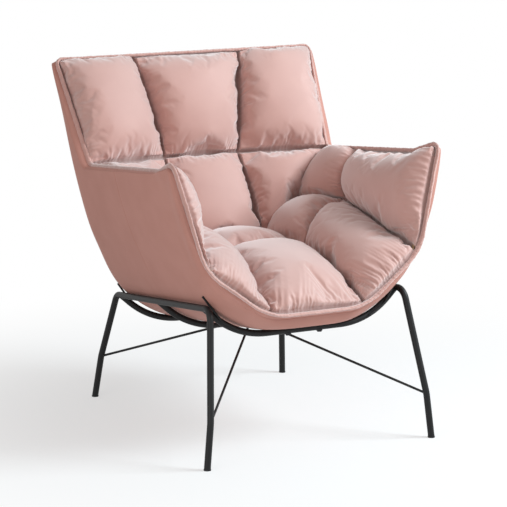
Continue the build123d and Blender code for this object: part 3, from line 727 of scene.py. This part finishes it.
def fill_with_pressure(piece, sizes):
    """Blow the sewn cells up against their seams, and keep the result."""
    start = mesh_places(piece.data)
    weigh(piece, "sewn")
    weigh(piece, "loose")
    cloth = piece.modifiers.new("Cloth", "CLOTH")
    fabric = cloth.settings
    for name, value in FABRIC.items():
        setattr(fabric, name, value)
    fabric.uniform_pressure_force = sizes.pressure
    fabric.shrink_min = -sizes.slack
    fabric.shrink_max = -sizes.gather
    fabric.effector_weights.gravity = 0.0
    cloth.collision_settings.use_collision = False
    cloth.collision_settings.use_self_collision = False
    cloth.point_cache.frame_start = 1
    cloth.point_cache.frame_end = sizes.frames
    for step in range(1, sizes.frames + 1):
        bpy.context.scene.frame_set(step)
    filled = evaluated_mesh(piece)
    bpy.context.scene.frame_set(1)
    moved = mesh_places(filled) - start
    far = np.linalg.norm(moved, axis=1, keepdims=True)
    moved *= np.minimum(1.0, sizes.most_rise / np.maximum(far, TINY))
    filled.vertices.foreach_set("co", (start + moved).astype(np.float32).ravel())
    swap_mesh(piece, filled)
    piece.vertex_groups.clear()


class CHAIR_OT_lining(bpy.types.Operator):
    """Sew and fill the quilted lining"""
    bl_idname = "chair.lining"
    bl_label = "Quilted Lining"

    def execute(self, context):
        sizes = context.scene.chair_lining
        bm = sewn_sheet(sizes)
        cloth = cloth_material("quilted_cloth", context)
        # Painted shade: the lining's colour darkens down in its seams
        paint_seam_shade(cloth.node_tree, context.scene.chair_finish.crease)
        piece = new_piece("quilted_lining", bm, cloth)
        fill_with_pressure(piece, sizes)
        subdivide(piece).boundary_smooth = "PRESERVE_CORNERS"
        swap_mesh(piece, evaluated_mesh(piece))
        pucker(piece.data, sizes)
        bm = bmesh.new()
        bm.from_mesh(piece.data)
        open_edge = [vert for vert in bm.verts if vert.is_boundary]
        bmesh.ops.remove_doubles(bm, verts=open_edge, dist=MERGE["seams"])
        sink_seams(bm, sizes)
        back_sheet(bm, sizes)
        keep_mesh(bm, piece.data)
        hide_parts(*PADS)
        return {"FINISHED"}


# Outer cover
def cover_shoulder(tree, sizes):
    """Rows of the cover that turn from the piping over the shell's edge on to its outside."""
    picks = (np.arange(sizes.around) * len(RIM.points)) // sizes.around
    picks = np.append(picks, picks[0])
    edge, base = chair_points(COVER_RIM.points[picks]), chair_points(RIM.points[picks])
    out, inward = RIM_OUT[picks], RIM_IN[picks]
    below = base - out * sizes.shoulder
    foot = np.zeros_like(below)
    for column, place in enumerate(below):
        way = Vector(inward[column])
        hit = tree.ray_cast(Vector(place) - way * SHELL_REACH, way, SHELL_REACH)[0]
        foot[column] = hit or tree.find_nearest(Vector(place) - way * SHELL_HALF)[0]
    foot -= inward * sizes.skin
    turn = foot + out * sizes.shoulder_rise
    share = np.linspace(0.0, 1.0, sizes.shoulder_rows + 1)[None, :, None]
    first, last = (1 - share) ** 2 * edge[:, None], share ** 2 * foot[:, None]
    return first + 2 * share * (1 - share) * turn[:, None] + last


def cover_places(sizes):
    """Places of the cover's grid, cast on to the outside of the shell, rim to belly."""
    tree = node_tree("outer_cover")
    low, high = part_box("outer_cover")
    hub = Vector(chair_points(HUB))
    belly = Vector(chair_points(BELLY)) - hub
    belly.normalize()
    shoulder = cover_shoulder(tree, sizes)
    places = np.zeros((sizes.around + 1, sizes.down + 1, 3))
    reach = (high - low).length
    shares = np.linspace(0.0, 1.0, sizes.down + 1) ** ROW_POWER
    for column in range(sizes.around + 1):
        edge = Vector(shoulder[column, -1]) - hub
        swing = edge.angle(belly)
        ways = [(edge.normalized() * math.sin((1 - share) * swing) + belly * math.sin(share * swing))
                / math.sin(swing) for share in shares]
        found = {0: edge.length}
        for row in range(1, sizes.down + 1):
            hit = tree.ray_cast(hub + ways[row] * reach, -ways[row], reach)[0]
            if hit is not None:
                found[row] = (hit - hub).length + sizes.skin
        depths = np.interp(np.arange(sizes.down + 1), list(found), list(found.values()))
        places[column] = np.array(hub) + np.array(ways) * depths[:, None]
    places = np.concatenate([shoulder[:, :-1], places], axis=1)
    front = RIM.points[RIM.points[:, 1] < FRONT_RUN][::HOLLOW_STRIDE]
    apart = np.linalg.norm(tipped_points(places)[:, :, None] - front, axis=-1).min(-1)
    breadth = HOLLOW_BREADTH * sizes.groove_back
    hollow = sizes.groove * np.exp(-((apart - sizes.groove_back) / breadth) ** 2)
    hollow -= sizes.ridge * np.exp(-((apart - SWELL_PLACE * sizes.groove_back) / breadth) ** 2)
    inward = np.array(hub) - places
    inward /= np.linalg.norm(inward, axis=-1, keepdims=True)
    return places + hollow[..., None] * inward


def sew_side_seams(bm, sizes):
    """Cut a fine crease down both sides of the cover."""
    across = Vector(chair_points((0.0, 1.0, 0.0)) - chair_points((0.0, 0.0, 0.0)))
    for offset in (-SEAM_HALF, 0.0, SEAM_HALF):
        place = Vector(chair_points((0.0, sizes.seam_back + offset, 0.0)))
        everything = bm.verts[:] + bm.edges[:] + bm.faces[:]
        bmesh.ops.bisect_plane(bm, geom=everything, plane_co=place, plane_no=across)
    bm.normal_update()
    for vert in bm.verts:
        _, back, height = tipped_points(np.array(vert.co))
        if abs(back - sizes.seam_back) < SEAM_HALF / 2:
            vert.co -= vert.normal * sizes.seam * np.clip((height - SEAM_FOOT) / SEAM_FADE, 0.0, 1.0)


class CHAIR_OT_cover(bpy.types.Operator):
    """Stretch the outer cover over the shell"""
    bl_idname = "chair.cover"
    bl_label = "Outer Cover"

    def execute(self, context):
        sizes = context.scene.chair_cover
        bm = bmesh.new()
        placed_grid(bm, cover_places(sizes))
        bmesh.ops.remove_doubles(bm, verts=bm.verts, dist=MERGE["cover"])
        bmesh.ops.recalc_face_normals(bm, faces=bm.faces)
        sew_side_seams(bm, sizes)
        piece = new_piece("outer_cover_cloth", bm, cloth_material("cover_cloth", context))
        subdivide(piece)
        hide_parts("outer_cover")
        return {"FINISHED"}


# Piping
def waves(pitch, seed):
    """Uneven closed ripple round the rim, from -1 to 1."""
    chance = np.random.default_rng(seed)
    share = np.arange(len(RIM.points)) / len(RIM.points)
    ripple = np.zeros(len(RIM.points))
    for scale, weight in RIPPLES:
        turns = round(RIM.length / (pitch * scale))
        sway = np.sin(2 * math.pi * (share * DRIFT_TURNS + chance.random()))
        drift = RIPPLE_DRIFT * sway * chance.random()
        ripple += weight * np.sin(2 * math.pi * (share * turns + chance.random()) + drift)
    return ripple / np.abs(ripple).max()


def piping_line(sizes, turn):
    """Points along the piping at a turn round its section.

    A turn of 0 is its outer edge, and a quarter turn faces the sitter.
    """
    edge = 0.5 + 0.5 * math.cos(turn)
    stand = sizes.ruffle * waves(sizes.pitch, STAND_SEED)
    swell = 1 + PIPING_SWELL * waves(sizes.pitch, SWELL_SEED)
    lean = PIPING_LEAN * sizes.ruffle * waves(sizes.pitch * LEAN_PITCH, LEAN_SEED)
    high = sizes.width * (0.5 * math.cos(turn) + PIPING_SET) + edge * stand
    broad = 0.5 * sizes.thickness * math.sin(turn) * swell + edge * lean
    return chair_points(RIM.points) + RIM_OUT * high[:, None] + RIM_IN * broad[:, None]


class CHAIR_OT_piping(bpy.types.Operator):
    """Fold the piping round the rim"""
    bl_idname = "chair.piping"
    bl_label = "Edge Piping"

    def execute(self, context):
        sizes = context.scene.chair_piping
        turns = 2 * math.pi * np.arange(sizes.sides + 1) / sizes.sides
        lines = np.stack([piping_line(sizes, turn) for turn in turns], axis=1)
        bm = bmesh.new()
        placed_grid(bm, np.concatenate([lines, lines[:1]]))
        bmesh.ops.remove_doubles(bm, verts=bm.verts, dist=MERGE["piping"])
        bmesh.ops.recalc_face_normals(bm, faces=bm.faces)
        piece = new_piece("rim_piping", bm, cloth_material("piping_cloth", context))
        subdivide(piece)
        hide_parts("edge_piping")
        return {"FINISHED"}


class CHAIR_OT_stitches(bpy.types.Operator):
    """Sew a row of stitches along the piping"""
    bl_idname = "chair.stitches"
    bl_label = "Piping Stitches"

    def execute(self, context):
        sizes = context.scene.chair_piping
        line = piping_line(sizes, STITCH_TURN)
        bm = bmesh.new()
        for spot in range(int(RIM.length / sizes.stitch)):
            index = int(spot * sizes.stitch / RIM.length * len(line))
            way = Vector(line[(index + 1) % len(line)] - line[index - 1])
            lie = Matrix.Translation(line[index]) @ way.to_track_quat("Z", "Y").to_matrix().to_4x4()
            long = Matrix.Diagonal((sizes.thread, sizes.thread, STITCH_SHARE * sizes.stitch, 1.0))
            bmesh.ops.create_icosphere(bm, subdivisions=1, radius=0.5, matrix=lie @ long)
        thread = finish_material("thread", context.scene.chair_finish.thread)
        new_piece("rim_stitches", bm, thread)
        return {"FINISHED"}


# Finishes
def link(tree, source, output, target, socket):
    """Join two nodes of a material."""
    tree.links.new(source.outputs[output], target.inputs[socket])


def new_material(name):
    """A node material with its tree and shader."""
    material = bpy.data.materials.new(name)
    material.use_nodes = True
    tree = material.node_tree
    return material, tree, tree.nodes["Principled BSDF"]


def put(node, values):
    """Set inputs of a node."""
    for socket, value in values.items():
        node.inputs[socket].default_value = value


def noise(tree, place, output, scale, detail):
    """A noise texture over a place."""
    texture = tree.nodes.new("ShaderNodeTexNoise")
    put(texture, {"Scale": scale, "Detail": detail})
    link(tree, place, output, texture, "Vector")
    return texture


def two_tones(tree, shader, texture, stops, dark, light):
    """Blend two tones of a colour by a texture."""
    ramp = tree.nodes.new("ShaderNodeValToRGB")
    for element, stop, colour in zip(ramp.color_ramp.elements, stops, (dark, light)):
        element.position = stop
        element.color = (*colour, 1.0)
    link(tree, texture, "Fac", ramp, "Fac")
    link(tree, ramp, "Color", shader, "Base Color")


def roughen(tree, shader, texture, strength, depth):
    """Raise fine bumps by a texture."""
    bump = tree.nodes.new("ShaderNodeBump")
    put(bump, {"Strength": strength, "Distance": depth})
    link(tree, texture, "Fac", bump, "Height")
    link(tree, bump, "Normal", shader, "Normal")


def cloth_material(name, context):
    """Smooth upholstery cloth with a soft sheen, faint mottling and a fine grain."""
    finish = context.scene.chair_finish
    sheen, gloss = CLOTHS[name]
    material, tree, shader = new_material(name)
    place = tree.nodes.new("ShaderNodeTexCoord")
    mottle = noise(tree, place, "Object", *MOTTLE)
    two_tones(tree, shader, mottle, MOTTLE_STOPS, finish.cloth_shade, finish.cloth)
    roughen(tree, shader, noise(tree, place, "Object", *WEAVE), *WEAVE_BUMP)
    put(shader, {"Roughness": CLOTH_ROUGHNESS, "Specular IOR Level": gloss,
                 "Sheen Weight": sheen, "Sheen Roughness": SHEEN_ROUGHNESS})
    return material


def paint_seam_shade(tree, crease):
    """Painted shade in the seams of the lining: its colour darkens towards a seam, by the distance from it.
    """
    shader = tree.nodes["Principled BSDF"]
    near = tree.nodes.new("ShaderNodeAttribute")
    near.attribute_name = "near"
    fade = tree.nodes.new("ShaderNodeMapRange")
    fade.interpolation_type = "SMOOTHSTEP"
    put(fade, {"From Max": SHADE_REACH})
    tones = tree.nodes.new("ShaderNodeMix")
    tones.data_type = "RGBA"
    put(tones, {MIX_FIRST: (*crease, 1.0)})
    cloth = shader.inputs["Base Color"].links[0].from_socket
    link(tree, near, "Fac", fade, "Value")
    link(tree, fade, "Result", tones, MIX_SHARE)
    tree.links.new(cloth, tones.inputs[MIX_SECOND])
    link(tree, tones, MIX_COLOUR, shader, "Base Color")


def finish_material(name, colour):
    """A hard finish or the thread: two tones of its colour and a bump, from one stretched noise."""
    roughness, gloss, metal, dark_share, stretch, scale, strength = FINISHES[name]
    material, tree, shader = new_material(name)
    put(shader, {"Roughness": roughness, "Specular IOR Level": gloss, "Metallic": metal})
    place = tree.nodes.new("ShaderNodeTexCoord")
    stretched = tree.nodes.new("ShaderNodeMapping")
    put(stretched, {"Scale": stretch})
    link(tree, place, "Object", stretched, "Vector")
    specks = noise(tree, stretched, "Vector", scale, SPECK_DETAIL)
    two_tones(tree, shader, specks, SPECK_STOPS, [dark_share * part for part in colour], colour)
    roughen(tree, shader, specks, strength, SPECK_DEPTH)
    return material


class CHAIR_OT_frame_finish(bpy.types.Operator):
    """Finish the steel frame, its fixings and the hidden shell"""
    bl_idname = "chair.frame_finish"
    bl_label = "Frame Finish"

    def execute(self, context):
        finish = context.scene.chair_finish
        coats = (
            (STEEL, "powder_coat", finish.powder),
            (GLIDES, "glide_plastic", finish.plastic),
            (FIXINGS, "black_zinc", finish.fixings),
            (["tee_nuts"], "bright_zinc", finish.zinc),
            (["shell_core"], "plywood", finish.plywood),
        )
        for nodes, name, colour in coats:
            coat = finish_material(name, colour)
            for node in nodes:
                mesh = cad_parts[node].data
                mesh.materials.clear()
                mesh.materials.append(coat)
        return {"FINISHED"}


# Stage
def area_light(name, place, size, power, tint):
    """A soft square lamp that points at the chair."""
    lamp = bpy.data.lights.new(name, "AREA")
    lamp.size = size
    lamp.energy = power
    lamp.color = tint
    stand = bpy.data.objects.new(name, lamp)
    stand.location = place
    stand.rotation_euler = (Vector(LAMP_TARGET) - Vector(place)).to_track_quat("-Z", "Y").to_euler()
    bpy.context.scene.collection.objects.link(stand)


def seen_directly(tree):
    """1 for camera, glossy and transmission rays, else 0."""
    path = tree.nodes.new("ShaderNodeLightPath")
    either = path
    output = "Is Camera Ray"
    for other in ("Is Glossy Ray", "Is Transmission Ray"):
        larger = tree.nodes.new("ShaderNodeMath")
        larger.operation = "MAXIMUM"
        link(tree, either, output, larger, 0)
        link(tree, path, other, larger, 1)
        either, output = larger, "Value"
    return either


def floor_material():
    """Pale floor that keeps the shadow near the chair and fades to white away from it."""
    material, tree, shader = new_material("pale_floor")
    put(shader, FLOOR_FINISH)
    white = tree.nodes.new("ShaderNodeEmission")
    place = tree.nodes.new("ShaderNodeTexCoord")
    away = tree.nodes.new("ShaderNodeVectorMath")
    away.operation = "LENGTH"
    fade = tree.nodes.new("ShaderNodeMapRange")
    fade.interpolation_type = "SMOOTHSTEP"
    put(fade, FLOOR_FADE)
    link(tree, place, "Object", away, 0)
    link(tree, away, "Value", fade, "Value")
    both = tree.nodes.new("ShaderNodeMath")
    both.operation = "MULTIPLY"
    link(tree, fade, "Result", both, 0)
    link(tree, seen_directly(tree), "Value", both, 1)
    blend = tree.nodes.new("ShaderNodeMixShader")
    link(tree, both, "Value", blend, "Fac")
    link(tree, shader, "BSDF", blend, 1)
    link(tree, white, "Emission", blend, 2)
    link(tree, blend, "Shader", tree.nodes["Material Output"], "Surface")
    return material


def studio_world():
    """Soft even light, white where it is seen directly."""
    world = bpy.data.worlds.new("studio")
    world.use_nodes = True
    tree = world.node_tree
    soft = tree.nodes["Background"]
    put(soft, {"Color": WHITE, "Strength": WORLD_LIGHT})
    white = tree.nodes.new("ShaderNodeBackground")
    put(white, {"Color": WHITE})
    blend = tree.nodes.new("ShaderNodeMixShader")
    link(tree, seen_directly(tree), "Value", blend, "Fac")
    link(tree, soft, "Background", blend, 1)
    link(tree, white, "Background", blend, 2)
    link(tree, blend, "Shader", tree.nodes["World Output"], "Surface")
    return world


class CHAIR_OT_stage(bpy.types.Operator):
    """Set the floor, the lamps and the camera"""
    bl_idname = "chair.stage"
    bl_label = "Stage"

    def execute(self, context):
        stage = context.scene.chair_stage
        bm = bmesh.new()
        bmesh.ops.create_grid(bm, x_segments=1, y_segments=1, size=FLOOR_SIZE)
        mesh = bpy.data.meshes.new("floor")
        bm.to_mesh(mesh)
        bm.free()
        floor = bpy.data.objects.new("floor", mesh)
        context.scene.collection.objects.link(floor)
        mesh.materials.append(floor_material())
        target = Vector((0.0, -FOOTPRINT_SHIFT, stage.target_height))
        flat = math.cos(stage.elevation)
        back = Vector((math.sin(stage.azimuth) * flat, -math.cos(stage.azimuth) * flat,
                       math.sin(stage.elevation)))
        camera = bpy.data.objects.new("camera", bpy.data.cameras.new("camera"))
        camera.location = target + back * stage.distance
        camera.rotation_euler = (-back).to_track_quat("-Z", "Y").to_euler()
        camera.data.sensor_width = SENSOR
        camera.data.lens = stage.lens
        context.scene.collection.objects.link(camera)
        context.scene.camera = camera
        for name, lamp in LAMPS.items():
            area_light(name, *lamp)
        context.scene.world = studio_world()
        context.scene.view_settings.view_transform = "Standard"
        return {"FINISHED"}


class CHAIR_PT_sidebar(bpy.types.Panel):
    """Lists the steps that build the chair"""
    bl_label = "Armchair"
    bl_space_type = "VIEW_3D"
    bl_region_type = "UI"
    bl_category = "Armchair"

    def draw(self, context):
        for step in STEPS:
            self.layout.operator(step.bl_idname)


GROUPS = {
    "chair_lining": LiningSettings,
    "chair_cover": CoverSettings,
    "chair_piping": PipingSettings,
    "chair_finish": FinishSettings,
    "chair_stage": StageSettings,
}
STEPS = (CHAIR_OT_lining, CHAIR_OT_cover, CHAIR_OT_piping, CHAIR_OT_stitches, CHAIR_OT_frame_finish,
         CHAIR_OT_stage)


def register():
    """Register the settings, the steps and the panel."""
    for name, group in GROUPS.items():
        bpy.utils.register_class(group)
        setattr(bpy.types.Scene, name, PointerProperty(type=group))
    for step in STEPS:
        bpy.utils.register_class(step)
    bpy.utils.register_class(CHAIR_PT_sidebar)


def unregister():
    """Undo register."""
    bpy.utils.unregister_class(CHAIR_PT_sidebar)
    for step in reversed(STEPS):
        bpy.utils.unregister_class(step)
    for name, group in reversed(GROUPS.items()):
        delattr(bpy.types.Scene, name)
        bpy.utils.unregister_class(group)


def main():
    """Build the whole chair."""
    register()
    bpy.ops.chair.lining()
    bpy.ops.chair.cover()
    bpy.ops.chair.piping()
    bpy.ops.chair.stitches()
    bpy.ops.chair.frame_finish()
    bpy.ops.chair.stage()


if __name__ == "__main__":
    main()
